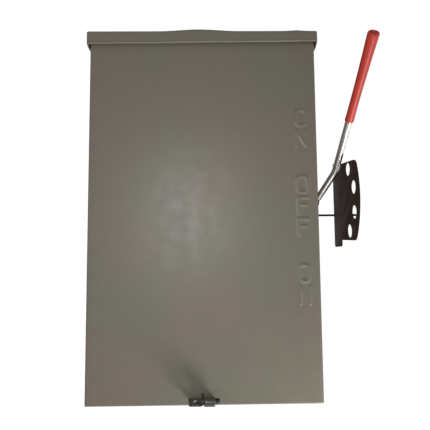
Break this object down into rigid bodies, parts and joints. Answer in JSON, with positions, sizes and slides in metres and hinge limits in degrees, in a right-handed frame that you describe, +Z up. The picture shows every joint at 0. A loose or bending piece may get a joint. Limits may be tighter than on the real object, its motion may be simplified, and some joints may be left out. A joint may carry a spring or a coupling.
{
  "type": "ac disconnect box",
  "caption": "Wall-mounted outdoor double-throw safety switch: hooded steel box, top-hinged lift-up cover, padlockable side handle with index plate, and blade poles inside.",
  "frame": {"origin": "centre of the four wall-mounting holes, on the back face", "axes": "+Z up, +X to the right of a person facing the box, -Y out of the wall towards that person"},
  "size_m": [0.5095, 0.4076, 0.67],
  "materials": {
    "enclosure_paint": "baked grey enamel, semi-gloss",
    "plate_paint": "black-brown enamel, satin",
    "chrome": "bright plated steel",
    "grip_vinyl": "dipped red vinyl",
    "hub_casting": "cast, dark painted",
    "zinc_steel": "zinc plated",
    "black_knob": "black",
    "rubber_seal": "black neoprene",
    "bronze": "sintered bronze",
    "copper": "bare copper",
    "lug_aluminium": "tin plated",
    "set_screw_steel": "black oxide",
    "ground_screw_steel": "green",
    "base_phenolic": "moulded phenolic",
    "crossbar_polyester": "glass polyester, red",
    "barrier_fibre": "grey vulcanised fibre"
  },
  "bodies": {
    "enclosure": {"enclosure_body": "enclosure_paint", "bottom_wall": "enclosure_paint", "top_hood": "enclosure_paint", "hub_cap": "enclosure_paint", "body_hasp": "enclosure_paint", "index_plate": "plate_paint", "index_bracket": "plate_paint", "hub_screws": "zinc_steel", "hinge_pins": "zinc_steel", "bracket_bolts": "zinc_steel", "pan_nuts": "zinc_steel", "base_screws": "zinc_steel", "mounting_pan": "zinc_steel", "bearing_bracket_left": "zinc_steel", "bearing_bracket_right": "zinc_steel", "stop_pins": "zinc_steel", "hub_gasket": "rubber_seal", "shaft_seal": "rubber_seal", "shaft_bushing": "bronze", "upper_jaw_1": "copper", "upper_jaw_2": "copper", "upper_jaw_3": "copper", "lower_jaw_1": "copper", "lower_jaw_2": "copper", "lower_jaw_3": "copper", "hinge_clip_1": "copper", "hinge_clip_2": "copper", "hinge_clip_3": "copper", "upper_lug_1": "lug_aluminium", "upper_lug_2": "lug_aluminium", "upper_lug_3": "lug_aluminium", "lower_lug_1": "lug_aluminium", "lower_lug_2": "lug_aluminium", "lower_lug_3": "lug_aluminium", "load_lug_1": "lug_aluminium", "load_lug_2": "lug_aluminium", "load_lug_3": "lug_aluminium", "neutral_bar": "lug_aluminium", "ground_bar": "lug_aluminium", "lug_screws": "set_screw_steel", "ground_screws": "ground_screw_steel", "pole_base_1": "base_phenolic", "pole_base_2": "base_phenolic", "pole_base_3": "base_phenolic", "neutral_base": "base_phenolic", "phase_barriers": "barrier_fibre"},
    "cover": {"front_cover": "enclosure_paint", "cover_hasp": "enclosure_paint", "latch_barrel": "enclosure_paint"},
    "slide_bolt": {"latch_bolt": "zinc_steel", "latch_knob": "black_knob"},
    "handle": {"handle_rod": "chrome", "handle_grip": "grip_vinyl", "handle_hub": "hub_casting", "operating_shaft": "zinc_steel", "crossbar": "crossbar_polyester", "stop_arm": "zinc_steel", "blade_1": "copper", "blade_2": "copper", "blade_3": "copper"}
  },
  "joints": [
    {"name": "cover_lift", "type": "hinge", "parent": "enclosure", "child": "cover", "pos_m": [0, -0.205, 0.282], "axis": [-1, 0, 0], "range_deg": [0, 90]},
    {"name": "bolt_slide", "type": "slide", "parent": "cover", "child": "slide_bolt", "axis": [1, 0, 0], "range_m": [-0.0055, 0]},
    {"name": "handle_throw", "type": "hinge", "parent": "enclosure", "child": "handle", "pos_m": [0, -0.138, 0.0215], "axis": [1, 0, 0], "range_deg": [0, 82]}
  ]
}
